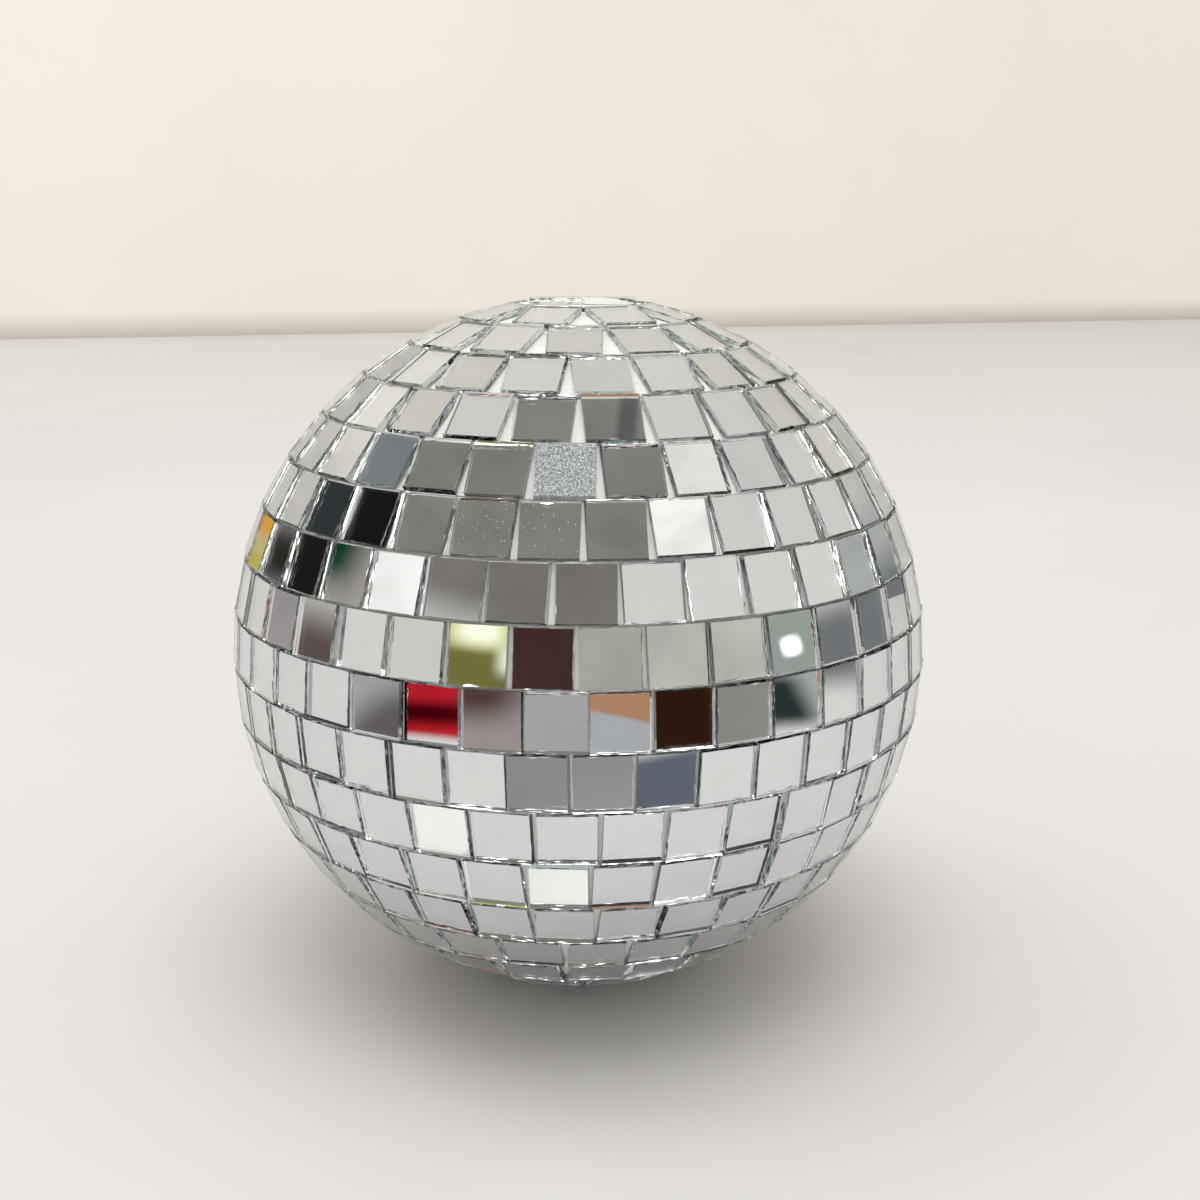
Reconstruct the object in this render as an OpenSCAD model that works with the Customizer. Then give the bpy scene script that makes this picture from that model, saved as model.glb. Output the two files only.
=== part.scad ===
// Mirror ball: a hollow two-part core covered with rows of square mirror tiles,
// standing on the round flange of its own hanger. Millimetres, +Z up, Z = 0 on the flange face.

/* [Mirror tiles] */
// Side of one square tile
tile_w = 10; // [8:0.5:12]
// Thickness of the silvered glass
tile_t = 1.2; // [1:0.1:2]
// Distance from the ball centre to the silvered back of a tile
back_r = 66.7; // [60:0.1:75]
// Gap between two rows at their closest point
row_gap = 0.12; // [0.1:0.01:0.4]
// Smallest gap between two tiles of one row
tile_gap = 0.14; // [0.1:0.01:0.4]
// Rows on each side of the equator
rows = 9; // [9:1:9]
// Share of the free space that the hand-set tiles wander by
wander = 0.4; // [0:0.05:0.45]

/* [Backing and core] */
// Thickness of the woven backing under each row
strip_t = 0.3; // [0.2:0.05:0.5]
// Glue line left between glued faces
glue = 0.02; // [0.01:0.01:0.05]
// Wall of the moulded core
core_wall = 2.2; // [1.5:0.1:3]
// Height of the rebate that locates the two halves
rebate_h = 2.6; // [2:0.1:4]

/* [Hanger] */
// Distance from the ball centre down to the flange face
foot = 68.2; // [67.5:0.1:70]
// Outer radius of the flange
flange_r = 11.3; // [10.5:0.1:11.6]
// Sheet thickness of the cup
sheet_t = 0.8; // [0.6:0.1:1]
// Inner radius of the well
well_r = 8.2; // [8:0.1:9]
// Overall depth of the cup
cup_h = 9; // [8:0.5:11]
// Radius of the bail wire
wire_r = 0.9; // [0.8:0.05:1]
// Centreline radius of the bail
bail_r = 6.4; // [5.5:0.1:6.8]
// Height of the bail pivot above the flange face
pivot_z = 2; // [1.9:0.05:2.4]

/* [Hidden] */
$fn = 96;
deg = 180 / PI;
half = atan(tile_w / 2 / back_r);
strip_in = back_r - glue - strip_t;
core_r = strip_in - 2 * glue;
core_in = core_r - core_wall;
mid_r = core_r - 1.05;
well_out = well_r + 0.7;
boss_bore = well_out + 0.9;
pin_r = wire_r - 0.1;
boss_r = flange_r + 1.8;
web_z = cup_h + 2 * glue;
web_t = 3;
bolt_r = 1.95;
head_r = 3.8;
head_h = 2.5;
washer_z = web_z + web_t + 2 * glue;
washer_t = 0.8;
nut_z = washer_z + washer_t + 2 * glue;
nut_h = 3.2;
glass_c = [0.80, 0.84, 0.84];
cloth_c = [0.94, 0.94, 0.92];
core_c = [0.92, 0.92, 0.90];
steel_c = [0.70, 0.71, 0.73];
// Heading of one tile centre in each row, counted from the equator, as seen from -Y
turn_up = [-92.3, -84.9, -88.3, -83.3, -91.7, -82.3, -83.2, -91.3, -64.0];
turn_low = [-94.7, -90.8, -82.6, -91.6, -85.8, -85.3, -97.0, -81.0, -90.0];

// Latitude of the equator-side edge of row k. The corners of a straight-edged tile stand
// proud of its own latitude circle, so the rows spread a little towards the poles.
function spread(lat) = (row_gap + tile_w * tile_w / 8 * tan(lat) / back_r) / back_r * deg;
function row_start(k) = k == 1 ? row_gap / 2 / back_r * deg
  : row_start(k - 1) + 2 * half + spread(row_start(k - 1) + 2 * half);
function row_lat(k) = row_start(k) + half;
function pole_edge_r(k) = back_r * cos(row_lat(k)) - tile_w / 2 * sin(row_lat(k));
function tile_count(k) = floor(180 / atan((tile_w + tile_gap) / 2 / pole_edge_r(k)));
function free_turn(k) = 360 / tile_count(k) - 2 * atan(tile_w / 2 / pole_edge_r(k));

module ball() {
  translate([0, 0, foot]) children();
}

module half_ball(side) {
  ball() mirror([0, 0, side < 0 ? 1 : 0]) children();
}

module tile_row(k, side, turn) {
  n = tile_count(k);
  drift = rands(-wander, wander, n, 40 * k + side);
  half_ball(side)
    for (i = [0:n - 1])
      rotate([0, 0, turn + i * 360 / n + drift[i] * free_turn(k)])
        rotate([0, -row_lat(k), 0])
          translate([back_r, -tile_w / 2, -tile_w / 2])
            cube([tile_t, tile_w, tile_w]);
}

module strip(k, side) {
  half_ball(side)
    rotate_extrude()
      rotate(row_lat(k))
        translate([strip_in, -tile_w / 2 + 0.15])
          square([strip_t, tile_w - 0.3]);
}

module core_upper() color(core_c)
  ball()
    rotate_extrude()
      difference() {
        intersection() {
          circle(core_r);
          translate([0, 0.03]) square([core_r + 1, core_r + 1]);
        }
        circle(core_in);
        square([mid_r + 0.05, rebate_h]);
      }

module core_lower() color(core_c)
  difference() {
    union() {
      ball()
        rotate_extrude() {
          difference() {
            intersection() {
              circle(core_r);
              translate([0, -core_r - 1]) square([core_r + 1, core_r + 1]);
            }
            circle(core_in);
          }
          translate([mid_r - 1, -1]) square([0.95, rebate_h + 0.9]);
        }
      translate([0, 0, sheet_t + 2 * glue]) cylinder(r = flange_r, h = 6);
      translate([0, 0, 3.6]) cylinder(r = boss_r, h = web_z + web_t - 3.6);
    }
    translate([0, 0, -1]) cylinder(r = boss_bore, h = web_z + 1);
    cylinder(r = bolt_r + 0.3, h = 20);
  }

module strip_top() color(cloth_c)
  ball() translate([0, 0, strip_in]) cylinder(r = 11.8, h = strip_t);

module strip_u1() color(cloth_c) strip(1, 1);
module strip_u2() color(cloth_c) strip(2, 1);
module strip_u3() color(cloth_c) strip(3, 1);
module strip_u4() color(cloth_c) strip(4, 1);
module strip_u5() color(cloth_c) strip(5, 1);
module strip_u6() color(cloth_c) strip(6, 1);
module strip_u7() color(cloth_c) strip(7, 1);
module strip_u8() color(cloth_c) strip(8, 1);
module strip_u9() color(cloth_c) strip(9, 1);
module strip_l1() color(cloth_c) strip(1, -1);
module strip_l2() color(cloth_c) strip(2, -1);
module strip_l3() color(cloth_c) strip(3, -1);
module strip_l4() color(cloth_c) strip(4, -1);
module strip_l5() color(cloth_c) strip(5, -1);
module strip_l6() color(cloth_c) strip(6, -1);
module strip_l7() color(cloth_c) strip(7, -1);
module strip_l8() color(cloth_c) strip(8, -1);
module strip_l9() color(cloth_c) strip(9, -1);

// Two whole tiles laid flat over the pole, seam running front to back
module tiles_top() color(glass_c)
  ball()
    translate([0.6, -tile_w / 2, back_r]) {
      translate([0.1, 0, 0]) cube([tile_w, tile_w, tile_t]);
      translate([-tile_w - 0.1, 0, 0]) cube([tile_w, tile_w, tile_t]);
    }

module tiles_u1() color(glass_c) tile_row(1, 1, turn_up[0]);
module tiles_u2() color(glass_c) tile_row(2, 1, turn_up[1]);
module tiles_u3() color(glass_c) tile_row(3, 1, turn_up[2]);
module tiles_u4() color(glass_c) tile_row(4, 1, turn_up[3]);
module tiles_u5() color(glass_c) tile_row(5, 1, turn_up[4]);
module tiles_u6() color(glass_c) tile_row(6, 1, turn_up[5]);
module tiles_u7() color(glass_c) tile_row(7, 1, turn_up[6]);
module tiles_u8() color(glass_c) tile_row(8, 1, turn_up[7]);
module tiles_u9() color(glass_c) tile_row(9, 1, turn_up[8]);
module tiles_l1() color(glass_c) tile_row(1, -1, turn_low[0]);
module tiles_l2() color(glass_c) tile_row(2, -1, turn_low[1]);
module tiles_l3() color(glass_c) tile_row(3, -1, turn_low[2]);
module tiles_l4() color(glass_c) tile_row(4, -1, turn_low[3]);
module tiles_l5() color(glass_c) tile_row(5, -1, turn_low[4]);
module tiles_l6() color(glass_c) tile_row(6, -1, turn_low[5]);
module tiles_l7() color(glass_c) tile_row(7, -1, turn_low[6]);
module tiles_l8() color(glass_c) tile_row(8, -1, turn_low[7]);
module tiles_l9() color(glass_c) tile_row(9, -1, turn_low[8]);

module hanger_cup() color(steel_c)
  difference() {
    union() {
      rotate_extrude() {
        translate([well_r, 0]) square([flange_r - sheet_t / 2 - well_r, sheet_t]);
        translate([flange_r - sheet_t / 2, sheet_t / 2]) circle(sheet_t / 2);
      }
      difference() {
        cylinder(r = well_out, h = cup_h);
        translate([0, 0, -1]) cylinder(r = well_r, h = cup_h - sheet_t + 1);
      }
    }
    translate([0, 0, pivot_z]) rotate([90, 0, 0]) cylinder(r = pin_r + 0.08, h = 30, center = true);
    cylinder(r = bolt_r + 0.2, h = 20);
  }

module hanging_bail() color(steel_c)
  translate([0, 0, pivot_z]) {
    rotate([0, 0, -92]) rotate_extrude(angle = 184, $fn = 48) translate([bail_r, 0]) circle(wire_r, $fn = 24);
    for (s = [-1, 1])
      translate([0, s * (bail_r - wire_r / 2), 0])
        rotate([-s * 90, 0, 0])
          cylinder(r = pin_r, h = well_out + 0.6 - bail_r + wire_r / 2, $fn = 24);
  }

module hanger_bolt() color(steel_c)
  translate([0, 0, cup_h - sheet_t - 2 * glue - head_h]) {
    difference() {
      intersection() {
        cylinder(r = head_r, h = head_h);
        translate([0, 0, 5.4]) sphere(5.9);
      }
      for (a = [0, 90])
        rotate([0, 0, a]) translate([-2, -0.45, -1]) cube([4, 0.9, 2.4]);
    }
    translate([0, 0, head_h - 0.5]) cylinder(r = bolt_r, h = 13);
  }

module inner_washer() color(steel_c)
  translate([0, 0, washer_z])
    difference() {
      cylinder(r = 5.5, h = washer_t);
      translate([0, 0, -1]) cylinder(r = bolt_r + 0.2, h = 4);
    }

module lock_nut() color(steel_c)
  translate([0, 0, nut_z])
    difference() {
      union() {
        cylinder(r = 3.5 / cos(30), h = nut_h, $fn = 6);
        translate([0, 0, nut_h - 0.5]) cylinder(r = 3.2, h = 1.6);
      }
      translate([0, 0, -1]) cylinder(r = bolt_r + 0.05, h = 8);
    }

core_upper();
core_lower();
strip_top();
strip_u1();
strip_u2();
strip_u3();
strip_u4();
strip_u5();
strip_u6();
strip_u7();
strip_u8();
strip_u9();
strip_l1();
strip_l2();
strip_l3();
strip_l4();
strip_l5();
strip_l6();
strip_l7();
strip_l8();
strip_l9();
tiles_top();
tiles_u1();
tiles_u2();
tiles_u3();
tiles_u4();
tiles_u5();
tiles_u6();
tiles_u7();
tiles_u8();
tiles_u9();
tiles_l1();
tiles_l2();
tiles_l3();
tiles_l4();
tiles_l5();
tiles_l6();
tiles_l7();
tiles_l8();
tiles_l9();
hanger_cup();
hanging_bail();
hanger_bolt();
inner_washer();
lock_nut();
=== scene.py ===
"""Mirror ball on a pale table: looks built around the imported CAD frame.

Metres, +Z up, and the camera looks along +Y.
"""

import math
import random

import bpy
from mathutils import Euler, Matrix, Vector


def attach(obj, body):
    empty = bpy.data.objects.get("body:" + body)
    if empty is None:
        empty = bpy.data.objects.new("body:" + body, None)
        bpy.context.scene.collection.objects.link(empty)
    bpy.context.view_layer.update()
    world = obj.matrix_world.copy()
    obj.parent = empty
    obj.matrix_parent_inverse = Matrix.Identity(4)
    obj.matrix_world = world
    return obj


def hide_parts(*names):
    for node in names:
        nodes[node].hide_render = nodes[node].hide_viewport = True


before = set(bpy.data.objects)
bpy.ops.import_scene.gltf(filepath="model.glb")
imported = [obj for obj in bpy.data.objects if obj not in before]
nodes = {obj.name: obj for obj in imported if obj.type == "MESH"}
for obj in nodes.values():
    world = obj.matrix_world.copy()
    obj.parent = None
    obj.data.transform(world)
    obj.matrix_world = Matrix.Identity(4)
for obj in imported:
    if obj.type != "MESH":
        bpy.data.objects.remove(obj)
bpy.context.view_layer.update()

BALL = Vector((0, 0, 0.0682))        # ball centre
MM = 0.001


# ---------------------------------------------------------------- camera

CAMERA_FROM_BALL = Vector((0.0041, -0.2822, 0.0800))
CAMERA_PITCH, CAMERA_ROLL = math.radians(14.31), math.radians(0.26)
LENS, SENSOR_WIDTH = 43.3, 36        # mm


def make_camera():
    cam_data = bpy.data.cameras.new("camera")
    cam_data.sensor_width = SENSOR_WIDTH
    cam_data.lens = LENS
    cam_data.clip_start = 0.01
    cam_data.clip_end = 30
    cam = bpy.data.objects.new("camera", cam_data)
    bpy.context.scene.collection.objects.link(cam)
    cam.location = BALL + CAMERA_FROM_BALL
    level = Euler((math.pi / 2 - CAMERA_PITCH, 0, 0)).to_matrix()
    cam.rotation_euler = (level @ Matrix.Rotation(CAMERA_ROLL, 3, "Z")).to_euler()
    bpy.context.scene.camera = cam


make_camera()
scene = bpy.context.scene
scene.view_settings.view_transform = "Standard"
scene.view_settings.look = "None"
scene.cycles.max_bounces = 24
scene.cycles.glossy_bounces = 12
scene.cycles.transmission_bounces = 16
scene.cycles.sample_clamp_indirect = 6


# ---------------------------------------------------------------- material helpers

class Nodes:
    """A short way to write a node material."""

    def __init__(self, name):
        self.mat = bpy.data.materials.new(name)
        self.mat.use_nodes = True
        self.tree = self.mat.node_tree
        self.bsdf = self.tree.nodes["Principled BSDF"]
        self.out = self.tree.nodes["Material Output"]

    def set(self, **values):
        for key, value in values.items():
            self.bsdf.inputs[key.replace("_", " ")].default_value = value
        return self

    def new(self, kind, values=None, **props):
        node = self.tree.nodes.new(kind)
        for key, value in props.items():
            setattr(node, key, value)
        for key, value in (values or {}).items():
            node.inputs[key].default_value = value
        return node

    def link(self, a, b):
        self.tree.links.new(a, b)

    def coords(self):
        return self.new("ShaderNodeTexCoord").outputs["Object"]

    def noise(self, scale, detail=4, rough=0.55, coords=None):
        node = self.new("ShaderNodeTexNoise",
                        {"Scale": scale, "Detail": detail, "Roughness": rough})
        self.link(coords or self.coords(), node.inputs["Vector"])
        return node.outputs["Fac"]

    def ramp(self, source, low, high, out_low, out_high):
        node = self.new("ShaderNodeMapRange",
                        {"From Min": low, "From Max": high, "To Min": out_low, "To Max": out_high})
        self.link(source, node.inputs["Value"])
        return node.outputs["Result"]

    def math(self, op, a, b=0.0):
        node = self.new("ShaderNodeMath", operation=op)
        for slot, value in ((0, a), (1, b)):
            if isinstance(value, (int, float)):
                node.inputs[slot].default_value = value
            else:
                self.link(value, node.inputs[slot])
        return node.outputs[0]

    def mix(self, factor, dark, light):
        node = self.new("ShaderNodeMix", data_type="RGBA")
        node.inputs["A"].default_value = (*dark, 1)
        node.inputs["B"].default_value = (*light, 1)
        self.link(factor, node.inputs["Factor"])
        return node.outputs["Result"]

    def bump(self, height, strength, distance):
        node = self.new("ShaderNodeBump", {"Strength": strength, "Distance": distance})
        self.link(height, node.inputs["Height"])
        self.link(node.outputs["Normal"], self.bsdf.inputs["Normal"])

    def to(self, key, source):
        self.link(source, self.bsdf.inputs[key])


def glass_material():
    """Clear float glass: the green shows only on the long way through, from edge to edge."""
    n = Nodes("tile_glass").set(Base_Color=(1, 1, 1, 1), Roughness=0.0, IOR=1.52,
                                Transmission_Weight=1.0)
    tint = n.new("ShaderNodeVolumeAbsorption", {"Color": (0.68, 0.82, 0.77, 1), "Density": 46})
    n.link(tint.outputs[0], n.out.inputs["Volume"])
    return n.mat


def silver_material():
    """The silvered back: a bright metal film, faintly cloudy."""
    n = Nodes("tile_silver").set(Metallic=1.0, Specular_IOR_Level=0.5)
    cloud = n.noise(220, 3)
    n.to("Base Color", n.mix(n.ramp(cloud, 0.35, 0.75, 0, 1),
                             (0.80, 0.81, 0.83), (0.765, 0.78, 0.80)))
    n.to("Roughness", n.ramp(n.noise(900, 2), 0.45, 0.8, 0.0, 0.03))
    return n.mat


def hazy_material():
    """The same film on a tile that was never wiped: frosted in a fine grain."""
    n = Nodes("tile_silver_hazy").set(Metallic=0.2, Specular_IOR_Level=0.5)
    place = n.coords()
    grain = n.noise(3600, 6, 0.75, coords=place)
    n.to("Base Color", n.mix(n.ramp(grain, 0.48, 0.60, 0, 1), (0.56, 0.61, 0.68), (1.0, 1.0, 1.0)))
    n.to("Roughness", n.ramp(n.noise(1500, 4, coords=place), 0.35, 0.65, 0.08, 0.38))
    n.bump(grain, 0.35, 0.00005)
    return n.mat


def haze_material():
    """Dried haze on the front of such a tile: nearly clear in places, chalky in others."""
    n = Nodes("dried_haze").set(Base_Color=(0.90, 0.95, 1.0, 1), Roughness=0.6)
    n.to("Alpha", n.ramp(n.noise(3600, 6, 0.75), 0.50, 0.64, 0.02, 0.80))
    return n.mat


def fleck_material():
    """Dried specks of dust and glue on the front of a tile."""
    n = Nodes("dust_fleck").set(Roughness=0.75, Subsurface_Weight=0.1)
    n.to("Base Color", n.mix(n.noise(4000, 2), (0.62, 0.66, 0.70), (0.92, 0.94, 0.95)))
    return n.mat


def cloth_material():
    """White self-adhesive mesh under the tiles: over-and-under threads about 0.8 mm apart."""
    n = Nodes("woven_backing").set(Roughness=0.72, Sheen_Weight=0.25, Sheen_Roughness=0.5)
    place = n.coords()
    waves = []
    for axis in ("X", "Z"):
        wave = n.new("ShaderNodeTexWave",
                     {"Scale": 390, "Distortion": 0.35, "Detail": 1.0, "Detail Scale": 2.0},
                     bands_direction=axis)
        n.link(place, wave.inputs["Vector"])
        waves.append(wave.outputs["Fac"])
    weave = n.math("MULTIPLY", waves[0], waves[1])
    fibre = n.noise(5200, 3, coords=place)
    height = n.math("ADD", weave, n.math("MULTIPLY", fibre, 0.35))
    n.bump(height, 0.3, 0.00008)
    # painted shade: the colour is darker where the weave lies lower, in the hollows between
    # threads, on top of the fibres' own uneven tone
    n.to("Base Color", n.mix(n.ramp(height, 0.2, 1.1, 0, 1),
                             (0.90, 0.91, 0.90), (0.97, 0.98, 0.97)))
    return n.mat


def core_material():
    """White moulded plastic with a fine spark-eroded grain."""
    n = Nodes("core_plastic").set(Roughness=0.5, Subsurface_Weight=0.06)
    place = n.coords()
    n.to("Base Color", n.mix(n.noise(35, 3, coords=place),
                             (0.80, 0.80, 0.77), (0.88, 0.88, 0.86)))
    n.to("Roughness", n.ramp(n.noise(260, 4, coords=place), 0.3, 0.7, 0.42, 0.58))
    n.bump(n.noise(3800, 4, coords=place), 0.3, 0.00006)
    return n.mat


def metal_material(name, colour, dark, smooth, rough, grain):
    """Plated metal: fine rubbed scratches, slightly duller patches."""
    n = Nodes(name).set(Metallic=1.0)
    place = n.coords()
    patch = n.noise(160, 5, coords=place)
    n.to("Base Color", n.mix(n.ramp(patch, 0.35, 0.7, 0, 1), colour, dark))
    stretched = n.new("ShaderNodeMapping", {"Scale": (1, 14, 6)})
    n.link(place, stretched.inputs["Vector"])
    lines = n.noise(700, 3, 0.7, coords=stretched.outputs["Vector"])
    wear = n.math("ADD", patch, n.math("MULTIPLY", lines, 0.5))
    n.to("Roughness", n.ramp(wear, 0.5, 1.1, smooth, rough))
    n.bump(lines, grain, 0.00002)
    return n.mat


UNEVEN_GLOW = 1.26                   # the brightest parts of a card against its own colour


def glow_material(name, colour, soft):
    """A card that fades out towards its edges, so that its reflection has no hard outline."""
    n = Nodes(name)
    n.tree.nodes.remove(n.bsdf)
    place = n.new("ShaderNodeUVMap", uv_map="card")
    split = n.new("ShaderNodeSeparateXYZ")
    n.link(place.outputs["UV"], split.inputs[0])
    fades = []
    for axis in ("X", "Y"):
        near_edge = n.math("PINGPONG", split.outputs[axis], 0.5)
        fade = n.new("ShaderNodeMapRange", {"From Min": 0.0, "From Max": soft},
                     interpolation_type="SMOOTHSTEP")
        n.link(near_edge, fade.inputs["Value"])
        fades.append(fade.outputs["Result"])
    glow = n.new("ShaderNodeEmission")
    brighter = [UNEVEN_GLOW * c for c in colour]
    n.link(n.mix(n.ramp(n.noise(14, 2), 0.3, 0.7, 0, 1), colour, brighter), glow.inputs["Color"])
    clear = n.new("ShaderNodeBsdfTransparent")
    blend = n.new("ShaderNodeMixShader")
    n.link(n.math("MULTIPLY", *fades), blend.inputs["Fac"])
    n.link(clear.outputs[0], blend.inputs[1])
    n.link(glow.outputs[0], blend.inputs[2])
    n.link(blend.outputs[0], n.out.inputs["Surface"])
    return n.mat


def table_material():
    """A pale, nearly matt table top with faint stains."""
    n = Nodes("table_top").set(Specular_IOR_Level=0.12)
    place = n.coords()
    stain = n.noise(2.3, 5, 0.6, coords=place)
    n.to("Base Color", n.mix(n.ramp(stain, 0.3, 0.7, 0, 1),
                             (0.68, 0.665, 0.670), (0.73, 0.719, 0.720)))
    n.to("Roughness", n.ramp(n.noise(9, 4, coords=place), 0.3, 0.7, 0.5, 0.62))
    n.bump(n.noise(60, 4, coords=place), 0.05, 0.0006)
    return n.mat


def wall_material():
    """Warm white paint, with painted shade along the foot where it meets the table."""
    n = Nodes("painted_wall").set(Roughness=0.8, Emission_Color=(1.0, 0.95, 0.88, 1),
                                  Emission_Strength=0.16)
    place = n.coords()
    height = n.new("ShaderNodeSeparateXYZ")
    n.link(place, height.inputs[0])
    # painted shade: darker over the lowest 3.5 cm of the wall, along the table
    foot_shade = n.ramp(height.outputs["Z"], 0.0, 0.035, 0.0, 1.0)
    mottle = n.ramp(n.noise(1.1, 4, coords=place), 0.2, 0.8, 0.75, 1.0)
    n.to("Base Color", n.mix(n.math("MULTIPLY", foot_shade, mottle),
                             (0.43, 0.38, 0.33), (0.84, 0.81, 0.76)))
    n.bump(n.noise(30, 4), 0.05, 0.002)
    return n.mat


# ---------------------------------------------------------------- mesh helpers

def mesh_object(name, verts, faces, materials, face_slots=None):
    mesh = bpy.data.meshes.new(name)
    mesh.from_pydata([tuple(v) for v in verts], [], faces)
    for m in materials:
        mesh.materials.append(m)
    if face_slots:
        mesh.polygons.foreach_set("material_index", face_slots)
    mesh.update()
    obj = bpy.data.objects.new(name, mesh)
    bpy.context.scene.collection.objects.link(obj)
    return obj


def solids(node):
    """The separate boxes of a tile node, each as the list of its corners."""
    mesh = nodes[node].data
    parent = {}
    keys = [tuple(round(c * 2e5) for c in v.co) for v in mesh.vertices]
    where = dict(zip(keys, (v.co.copy() for v in mesh.vertices)))

    def find(k):
        while parent.get(k, k) != k:
            k = parent[k]
        return k

    for poly in mesh.polygons:
        first = find(keys[poly.vertices[0]])
        for i in poly.vertices[1:]:
            other = find(keys[i])
            if other != first:
                parent[other] = first
    groups = {}
    for k in sorted(where):
        groups.setdefault(find(k), []).append(where[k])
    return [groups[k] for k in sorted(groups)]


def tile_frame(corners):
    """Centre, sideways, up and outward directions, width and thickness of one box of glass."""
    centre = sum(corners, Vector()) / len(corners)
    edges = sorted(((c - corners[0]).length, i) for i, c in enumerate(corners) if i)
    thick = corners[edges[0][1]] - corners[0]
    out = thick.normalized()
    if out.dot(centre - BALL) < 0:
        out = -out
    side_a = (corners[edges[1][1]] - corners[0]).normalized()
    side_b = (corners[edges[2][1]] - corners[0]).normalized()
    east = side_a if abs(side_a.z) < abs(side_b.z) else side_b
    if abs(out.z) > 0.999:
        east = side_a if abs(side_a.x) > abs(side_b.x) else side_b
    return centre, east, out.cross(east).normalized(), out, edges[1][0], edges[0][0]


# ---------------------------------------------------------------- glass tiles

SEED = 700                           # the first tile node's; each further node adds one
TILT, MAX_TILT = 0.28, 0.9           # degrees a hand-set tile leans: spread and limit
SPIN, MAX_SPIN = 0.22, 0.4           # degrees it is turned in its own plane
TILE_SLACK = 0.01 * MM               # each side of a slab starts this far inside its CAD tile's

# a snapped side, in mm unless it says otherwise
SIDE_POINTS = 9                      # points along one edge
WOBBLE = 0.3                         # how far they stray along it, as a share of their spacing
LEAN, MAX_LEAN = 0.07, 0.14          # through the thickness: spread and limit
BEVELLED, BEVEL = 0.22, (0.12, 0.32)  # share of the sides that broke off slanting, and by how much
SKEW, MAX_SKEW = 0.04, 0.08          # from one end of a side to the other
ROUGH = (0.008, 0.012, 0.02, 0.06)
CHIPPED, CHIP = 0.05, (0.06, 0.22)   # share of the front points that are chipped, and how deep
SLAB_LEVELS = (0.0, 0.35, 0.70, 0.92, 1.0)

FILM_BACK, FILM_FRONT = -0.014 * MM, 0.02 * MM
FILM_MARGIN = 0.10 * MM
HAZE_LIFT = 0.016 * MM               # brings the back of the haze just clear of the glass

FLECK_SIZES = (0.02, 0.03, 0.04, 0.06)    # mm
FLECK_SIDES = 6
FLECK_FIELD = 0.93                   # they keep clear of a tile's rim
FLECK_LAYERS = ((0.004 * MM, 1.0), (0.012 * MM, 0.6))     # height above the glass, share of size
HAZY_FLECKS, DUSTY_FLECKS = 160, 80

# headings, in degrees, of the tiles that were never wiped and of those that are only dusty
HAZY = {"tiles_u5": [-91.7], "tiles_u7": [150.0], "tiles_l4": [40.0]}
DUSTY = {"tiles_u4": [-93.3, -104.0], "tiles_l2": [60.0]}


def clamp(value, limit):
    return max(-limit, min(limit, value))


class SnappedSide:
    """One side of a tile: its lean through the thickness, its skew and how roughly it broke."""

    def __init__(self, rng):
        self.lean = clamp(rng.gauss(0, LEAN), MAX_LEAN) * MM
        if rng.random() < BEVELLED:
            self.lean = rng.uniform(*BEVEL) * MM
        self.skew = clamp(rng.gauss(0, SKEW), MAX_SKEW) * MM
        self.rough = rng.choice(ROUGH) * MM

    def inset(self, share, height):
        """How far the side lies inside the tile's outline, at a share of its length."""
        lean = self.lean * height if self.lean > 0 else -self.lean * (1 - height)
        return lean + abs(self.skew) / 2 + self.skew * (share - 0.5)


def edge_ring(rng, sides, half, thick, height):
    """One closed outline of a tile, at a height from 0 at the silver to 1 at the front."""
    points = []
    for number, side in enumerate(sides):
        start = half - sides[number - 1].inset(1, height)
        end = half - sides[(number + 1) % 4].inset(0, height)
        for i in range(SIDE_POINTS):
            share = i / SIDE_POINTS
            across = half - side.inset(share, height)
            along = -start + (start + end) * share
            if i:
                along += rng.uniform(-WOBBLE, WOBBLE) * 2 * half / SIDE_POINTS
                across -= rng.random() * side.rough
                if height == 1 and rng.random() < CHIPPED:
                    across -= rng.uniform(*CHIP) * MM
            x, y = ((along, -across), (across, along), (-along, across), (-across, -along))[number]
            points.append((x, y, thick * height))
    return points


def add_tile(rng, verts, faces, place, half, thick):
    """A closed slab: flat back, flat front and four snapped sides."""
    sides = [SnappedSide(rng) for _ in range(4)]
    start, count = len(verts), 4 * SIDE_POINTS
    for height in SLAB_LEVELS:
        verts += [place @ Vector(p) for p in edge_ring(rng, sides, half, thick, height)]
    for level in range(len(SLAB_LEVELS) - 1):
        low = start + level * count
        for i in range(count):
            j = (i + 1) % count
            faces.append((low + i, low + j, low + count + j, low + count + i))
    faces.append(tuple(start + i for i in reversed(range(count))))
    top = start + (len(SLAB_LEVELS) - 1) * count
    faces.append(tuple(top + i for i in range(count)))


def add_film(verts, faces, place, half):
    """A thin closed slab: the silver that the glass back sinks into, or the haze on the front."""
    start = len(verts)
    h = half - FILM_MARGIN
    for z in (FILM_BACK, FILM_FRONT):
        verts += [place @ Vector(p) for p in ((-h, -h, z), (h, -h, z), (h, h, z), (-h, h, z))]
    for face in ((3, 2, 1, 0), (4, 5, 6, 7),
                 (0, 1, 5, 4), (1, 2, 6, 5), (2, 3, 7, 6), (3, 0, 4, 7)):
        faces.append(tuple(start + i for i in face))


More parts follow.
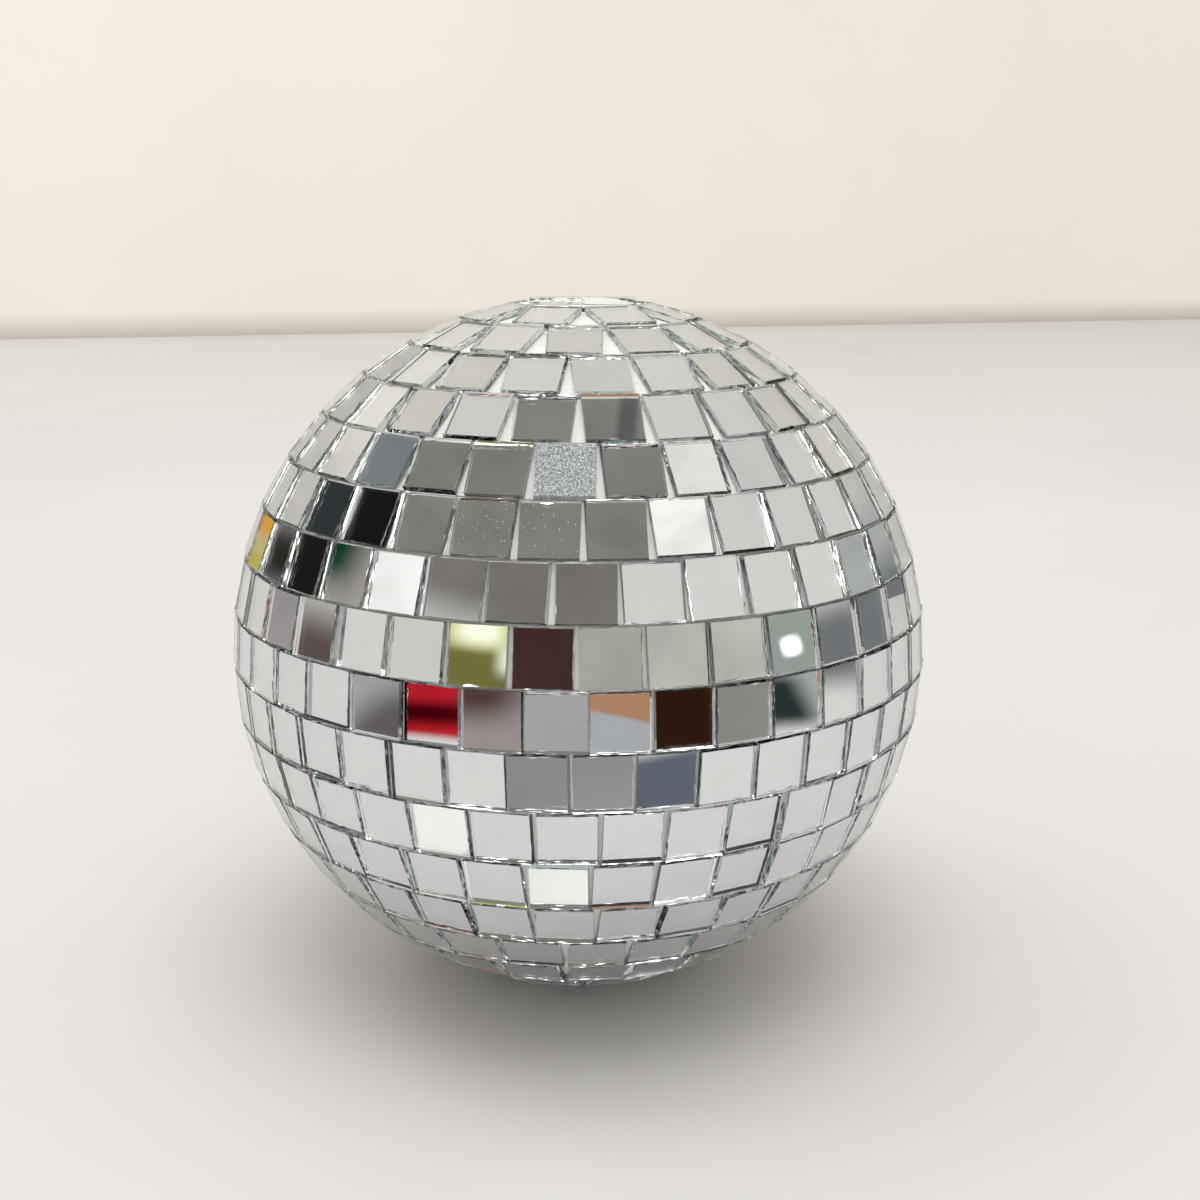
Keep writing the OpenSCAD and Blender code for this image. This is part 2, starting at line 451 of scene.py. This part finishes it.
def add_flecks(rng, verts, faces, place, half, thick, count):
    """Small flat lumps, each of two uneven rings of points."""
    sides = FLECK_SIDES
    for _ in range(count):
        x, y = rng.uniform(-half, half) * FLECK_FIELD, rng.uniform(-half, half) * FLECK_FIELD
        size = rng.choice(FLECK_SIZES) * MM
        turn, stretch = rng.uniform(0, math.pi), rng.uniform(1, 2.4)
        start = len(verts)
        for rise, grow in FLECK_LAYERS:
            for i in range(sides):
                a = 2 * math.pi * i / sides
                r = size * grow * (0.8 + 0.4 * ((i * 7) % 3) / 2)
                px, py = r * stretch * math.cos(a), r * math.sin(a)
                verts.append(place @ Vector((x + px * math.cos(turn) - py * math.sin(turn),
                                             y + px * math.sin(turn) + py * math.cos(turn),
                                             thick + rise)))
        faces.append(tuple(start + i for i in reversed(range(sides))))
        faces.append(tuple(start + sides + i for i in range(sides)))
        for i in range(sides):
            j = (i + 1) % sides
            faces.append((start + i, start + j, start + sides + j, start + sides + i))


def is_listed(headings, centre, out, width):
    """Whether a tile is the one nearest to one of the listed headings, in degrees."""
    heading = math.degrees(math.atan2(out.y, out.x))
    reach = math.degrees(width * 0.5 / math.hypot(centre.x, centre.y))
    return any(abs((heading - wanted + 180) % 360 - 180) < reach for wanted in headings)


def hand_set(rng, centre, east, north, out, width, thick):
    """Where a tile sits after it was pressed on by hand, a little askew."""
    lean_a = clamp(rng.gauss(0, TILT), MAX_TILT)
    lean_b = clamp(rng.gauss(0, TILT), MAX_TILT)
    spin = clamp(rng.gauss(0, SPIN), MAX_SPIN)
    lift = width / 2 * math.sin(math.radians(abs(lean_a) + abs(lean_b)))
    basis = Matrix((east, north, out)).transposed()
    turn = Euler([math.radians(v) for v in (lean_a, lean_b, spin)]).to_matrix()
    origin = centre - out * (thick / 2 - lift)
    return Matrix.Translation(origin) @ (basis @ turn).to_4x4()


def build_tiles(glass_mat, silver_mat, hazy_mat, haze_mat, fleck_mat):
    """Each CAD row of tiles is replaced by one piece of glass slabs and one of silver films."""
    tile_nodes = sorted(n for n in nodes if n.startswith("tiles_"))
    flecks, haze = ([], []), ([], [])
    for number, node in enumerate(tile_nodes):
        rng = random.Random(SEED + number)
        glass, film, film_slots = ([], []), ([], []), []
        for corners in solids(node):
            centre, east, north, out, width, thick = tile_frame(corners)
            place = hand_set(rng, centre, east, north, out, width, thick)
            half = width / 2 - TILE_SLACK
            add_tile(rng, *glass, place, half, thick)
            add_film(*film, place, half)
            hazy = is_listed(HAZY.get(node, ()), centre, out, width)
            film_slots += [int(hazy)] * 6
            if hazy:
                front = Matrix.Translation((0, 0, thick + HAZE_LIFT))
                add_film(*haze, place @ front, half)
                add_flecks(rng, *flecks, place, half, thick, HAZY_FLECKS)
            elif is_listed(DUSTY.get(node, ()), centre, out, width):
                add_flecks(rng, *flecks, place, half, thick, DUSTY_FLECKS)
        row = node[len("tiles_"):]
        pieces = (mesh_object(f"glass_{row}", *glass, [glass_mat]),
                  mesh_object(f"silver_{row}", *film, [silver_mat, hazy_mat], film_slots))
        for piece in pieces:
            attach(piece, "ball")
        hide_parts(node)
    for piece in (mesh_object("dust_flecks", *flecks, [fleck_mat]),
                  mesh_object("dried_haze", *haze, [haze_mat])):
        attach(piece, "ball")


build_tiles(glass_material(), silver_material(), hazy_material(), haze_material(),
            fleck_material())


# ---------------------------------------------------------------- finishes on the CAD pieces

def dress(prefixes, material):
    """Give every CAD piece whose name starts this way the material."""
    for name, obj in nodes.items():
        if name.startswith(prefixes):
            obj.data.materials.clear()
            obj.data.materials.append(material)


dress(("strip_",), cloth_material())
dress(("core_",), core_material())
dress(("hanger_cup", "hanging_bail"),
      metal_material("hanger_chrome", (0.80, 0.80, 0.82), (0.70, 0.70, 0.71),
                     smooth=0.06, rough=0.22, grain=0.06))
dress(("hanger_bolt", "inner_washer", "lock_nut"),
      metal_material("zinc_plate", (0.60, 0.61, 0.63), (0.48, 0.48, 0.47),
                     smooth=0.22, rough=0.42, grain=0.15))


# ---------------------------------------------------------------- stage and light

TABLE_LEFT, TABLE_RIGHT, TABLE_NEAR, TABLE_FAR = -4, 6, -3, 4.2
WALL_ANGLE = math.radians(18.3)      # to the picture plane
WALL_DISTANCE, WALL_HALF_LENGTH, WALL_HEIGHT, WALL_SINK = 2.02, 5, 3.0, 0.002
CARD_STEPS = 8                       # straight parts of a curved card
CARD_ABOVE_TABLE = 0.004
WORLD_COLOUR = (1.0, 0.973, 0.91, 1)
WORLD_STRENGTH = (0.72, 0.86)        # it varies softly between the two
LAMPS = (                            # name, place from the ball centre, size, power
    ("overhead", (0.1, -0.5, 2.3), 1.6, 24),
    ("high_left", (-1.6, 0.3, 2.4), 1.1, 8),
)


def sheet(name, corners, material):
    piece = mesh_object(name, corners, [(0, 1, 2, 3)], [material])


def card(name, grid, colour, soft):
    """A glowing card from two rows of points. It shows only in shiny things such as the tiles:
    the camera doesn't see it, it lights no matt surface directly and it throws no shadow."""
    steps = len(grid[0]) - 1
    faces = [(i, i + 1, steps + 2 + i, steps + 1 + i) for i in range(steps)]
    piece = mesh_object(name, grid[0] + grid[1], faces, [glow_material(name, colour, soft)])
    uv = piece.data.uv_layers.new(name="card")
    for loop in piece.data.loops:
        row, i = divmod(loop.vertex_index, steps + 1)
        uv.data[loop.index].uv = (i / steps, row)
    piece.visible_camera = False
    piece.visible_diffuse = False
    piece.visible_shadow = False
    piece.visible_volume_scatter = False


def flat_card(name, x, y, z, colour, soft=0.01):
    """A level card. x and y are ranges and z a height, all from the ball centre."""
    card(name, [[BALL + Vector((px, py, z)) for px in x] for py in y], colour, soft)


def curved_card(name, heading, height, radius, colour, slant=0.0, soft=0.2, dip=0.0):
    """A card bent around the ball. heading and height are ranges in degrees, and heading 0 is
    towards the camera. slant moves its upper edge to the right, and dip lowers the right end
    of its lower edge."""
    steps, grid = CARD_STEPS, []
    for level, lean, drop in ((height[0], -0.5, dip), (height[1], 0.5, 0.0)):
        row = []
        for i in range(steps + 1):
            a = math.radians(heading[0] + (heading[1] - heading[0]) * i / steps + slant * lean)
            e = math.radians(level - drop * i / steps)
            towards = Vector((math.cos(e) * math.sin(a), -math.cos(e) * math.cos(a), math.sin(e)))
            row.append(BALL + radius * towards)
        grid.append(row)
    card(name, grid, colour, soft)


def build_stage():
    """A table top and a wall that stands at a slight angle behind it."""
    sheet("table", [(TABLE_LEFT, TABLE_NEAR, 0), (TABLE_RIGHT, TABLE_NEAR, 0),
                    (TABLE_RIGHT, TABLE_FAR, 0), (TABLE_LEFT, TABLE_FAR, 0)], table_material())
    along = Vector((math.cos(WALL_ANGLE), math.sin(WALL_ANGLE), 0))
    foot = Vector((0, WALL_DISTANCE, -WALL_SINK))
    up = Vector((0, 0, WALL_HEIGHT))
    left, right = foot - along * WALL_HALF_LENGTH, foot + along * WALL_HALF_LENGTH
    sheet("wall", [left, right, right + up, left + up], wall_material())


def build_cards():
    """The unseen room, as the tiles show it."""
    grey, black = (0.238, 0.229, 0.205), (0.010, 0.010, 0.011)
    brown_grey, shiny = (0.20, 0.18, 0.165), (6.0, 5.9, 5.6)
    # a dull ceiling panel over the front, with one darker bar, and brighter ceiling to its right
    flat_card("card_ceiling", (-1.35, 0.45), (-2.3, 0.02), 1.0, grey)
    flat_card("card_ceiling_bar", (0.134, 0.158), (-0.5, 0.3), 0.96, (0.12, 0.125, 0.12), 0.35)
    flat_card("card_ceiling_bright", (0.52, 0.95), (-1.1, -0.35), 1.02, (1.0, 0.99, 0.92), 0.05)
    flat_card("card_ceiling_pale", (0.50, 0.85), (-0.33, -0.05), 1.02, (0.88, 0.87, 0.80), 0.05)
    curved_card("card_front_left", (-32, 10), (20, 33), 1.2, brown_grey, soft=0.03)
    curved_card("card_front_slope", (-52, -33), (22.5, 33), 1.19, brown_grey, soft=0.32)
    # narrow strip lights between the rows' mirror directions: only slanted edges catch them
    curved_card("card_strip_high", (-28, 32), (35.5, 39.5), 1.1, shiny, soft=0.1)
    curved_card("card_strip_low", (-45, 45), (16, 19), 1.1, shiny, soft=0.1)
    # dark flags and a bright panel on the left
    curved_card("card_flag_high", (-97, -76), (25, 37), 1.0, black, soft=0.04)
    curved_card("card_flag_side", (-115, -97), (16, 29), 1.0, (0.03, 0.036, 0.038), soft=0.06)
    curved_card("card_flag_top", (-118, -95), (33, 45), 1.0, (0.22, 0.24, 0.25), soft=0.06)
    curved_card("card_flag_low", (-111, -92), (5, 16), 1.0, (0.012, 0.012, 0.010), soft=0.04)
    curved_card("card_flag_dim", (-124, -116), (2.5, 8.5), 0.97, (0.03, 0.027, 0.023), 4, 0.45)
    curved_card("card_pink_side", (-132, -111), (-3, 12), 1.0, (0.36, 0.32, 0.30), soft=0.2)
    curved_card("card_dim_side", (-92, -72), (9, 27), 1.02, (0.42, 0.38, 0.35), soft=0.25)
    curved_card("card_green_corner", (-87.8, -81.2), (15.9, 22.4), 0.98, (0.003, 0.045, 0.020),
                soft=0.34)
    curved_card("card_left_bright", (-71, -55), (15, 28), 1.0, (1.02, 1.02, 0.96), soft=0.04)
    curved_card("card_amber", (-145, -132), (-1, 4), 1.0, (0.72, 0.36, 0.05), soft=0.3)
    curved_card("card_yellow", (-145, -132), (-6, 0.6), 0.98, (0.52, 0.44, 0.07), soft=0.3)
    # the room to both sides is dimmer than the ceiling
    curved_card("card_room_left", (-160, -117), (-3, 30), 1.3, (0.60, 0.56, 0.51), soft=0.1)
    curved_card("card_room_right", (117, 160), (-3, 17), 1.3, (0.57, 0.55, 0.51), soft=0.1)
    # small coloured things standing around the front of the table, and glowing grey patches of
    # painted shade among them for the table in shadow
    curved_card("card_pink_left", (-118, -98), (-6, 4), 1.02, (0.38, 0.34, 0.33), 5, 0.3)
    curved_card("card_maroon_left", (-98, -82), (-5, 5), 1.0, (0.12, 0.088, 0.082), 5, 0.35)
    curved_card("card_olive", (-38, -22), (0, 16), 1.0, (0.19, 0.18, 0.05), soft=0.05)
    curved_card("card_olive_yellow", (-36, -24), (8.1, 15), 0.99, (0.62, 0.62, 0.20), soft=0.14)
    curved_card("card_olive_blob", (-32.4, -28.8), (8.2, 10.8), 0.98, (1.1, 1.1, 0.85), soft=0.4)
    curved_card("card_olive_spot", (-30.0, -27.6), (7.0, 9.2), 0.97, (1.1, 1.1, 0.85), soft=0.45)
    curved_card("card_maroon", (-17, -3), (3, 15), 1.0, (0.060, 0.029, 0.024), soft=0.06)
    curved_card("card_beige", (3, 17), (3, 15), 1.0, (0.45, 0.43, 0.37), soft=0.06)
    curved_card("card_beige_wide", (18, 58), (0, 14), 1.02, (0.55, 0.54, 0.48), soft=0.06)
    curved_card("card_lamp", (68.7, 69.95), (4.75, 6.0), 0.99, (4.5, 4.5, 4.5), soft=0.5)
    curved_card("card_blue_grey", (77, 140), (-9, 5), 1.0, (0.19, 0.195, 0.20), soft=0.15)
    curved_card("card_blue_grey_high", (97, 134), (0, 14), 1.03, (0.44, 0.45, 0.43), soft=0.12)
    curved_card("card_blue_grey_near", (58, 82), (-3, 9), 1.05, (0.36, 0.39, 0.35), soft=0.1)
    curved_card("card_dark_slope", (-62, -50), (-15, -5), 0.3, (0.13, 0.115, 0.12), 10, 0.35)
    curved_card("card_pink_front", (-64, -49), (-14, -1), 0.32, (0.42, 0.39, 0.39), soft=0.1)
    curved_card("card_red", (-48, -32), (-9.1, -1), 0.3, (0.50, 0.014, 0.024), soft=0.08, dip=0.9)
    curved_card("card_red_dark", (-49, -31), (-8.9, -6.5), 0.29, (0.06, 0.0, 0.003), soft=0.45)
    curved_card("card_pink_grey", (-30, -15), (-13, 1), 0.31, (0.36, 0.31, 0.30), soft=0.1)
    curved_card("card_brown_grey", (-37, -17.5), (-9.0, 4), 0.3, (0.10, 0.055, 0.045), 6, 0.2)
    # painted shade: the table in front of the ball where it lies in shadow
    curved_card("card_front_shade", (-12, 2), (-13, -1), 0.3, (0.41, 0.395, 0.405), soft=0.06)
    curved_card("card_tan", (4, 20), (-5.6, 0), 0.3, (0.45, 0.24, 0.135), soft=0.05, dip=3.6)
    # painted shade: the nearer table under the tan thing, where it lies in shadow
    curved_card("card_front_shade_low", (3, 21), (-13, -3), 0.31, (0.43, 0.435, 0.45), soft=0.06)
    curved_card("card_brown", (22, 36), (-13, -1), 0.3, (0.028, 0.011, 0.0045), soft=0.05)
    curved_card("card_side_grey", (40, 53), (-13, -2), 0.3, (0.268, 0.262, 0.234), soft=0.06)
    curved_card("card_dark_green", (58.5, 66.2), (-11.0, -6.6), 0.3, (0.024, 0.034, 0.035), -2, 0.3)
    curved_card("card_green_grey", (55, 71), (-11, -1), 0.31, (0.42, 0.45, 0.41), soft=0.15)
    curved_card("card_right_grey", (74, 88), (-10, -2), 0.3, (0.20, 0.195, 0.20), soft=0.3)
    # patches on the table in front of the ball, seen only in the tiles: painted shade where the
    # table lies in shadow, and two spots of painted light
    low, lit_patch_colour = CARD_ABOVE_TABLE - BALL.z, (1.0, 0.99, 0.93)
    # painted shade: a grey patch, and a bluer, darker one to its right, where the table lies in
    # shadow
    flat_card("card_table_shade", (-0.057, 0.045), (-0.21, -0.145), low, (0.31, 0.31, 0.315), 0.08)
    flat_card("card_table_blue_shade", (0.047, 0.095), (-0.171, -0.112), low, (0.13, 0.14, 0.18), 0.14)
    # painted light: two small bright spots on the table
    flat_card("card_table_lit_patch", (-0.074, -0.050), (-0.104, -0.082), low, lit_patch_colour, 0.08)
    flat_card("card_table_lit_patch_low", (-0.017, 0.005), (-0.089, -0.069), low, lit_patch_colour, 0.08)


def build_light():
    """A soft, slightly warm surround and two large lamps that no tile shows."""
    world = bpy.data.worlds.new("studio")
    world.use_nodes = True
    tree = world.node_tree
    place = tree.nodes.new("ShaderNodeTexCoord")
    cloud = tree.nodes.new("ShaderNodeTexNoise")
    cloud.inputs["Scale"].default_value = 2.2
    cloud.inputs["Detail"].default_value = 2.0
    level = tree.nodes.new("ShaderNodeMapRange")
    for key, value in (("From Min", 0.3), ("From Max", 0.7),
                       ("To Min", WORLD_STRENGTH[0]), ("To Max", WORLD_STRENGTH[1])):
        level.inputs[key].default_value = value
    back = tree.nodes["Background"]
    back.inputs["Color"].default_value = WORLD_COLOUR
    tree.links.new(place.outputs["Generated"], cloud.inputs["Vector"])
    tree.links.new(cloud.outputs["Fac"], level.inputs["Value"])
    tree.links.new(level.outputs["Result"], back.inputs["Strength"])
    scene.world = world
    for name, where, size, power in LAMPS:
        light = bpy.data.lights.new(name, "AREA")
        light.shape = "SQUARE"
        light.size = size
        light.energy = power
        lamp = bpy.data.objects.new(name, light)
        lamp.location = BALL + Vector(where)
        lamp.rotation_euler = (BALL - lamp.location).to_track_quat("-Z", "Y").to_euler()
        lamp.visible_glossy = False
        lamp.visible_transmission = False
        scene.collection.objects.link(lamp)


build_stage()
build_cards()
build_light()
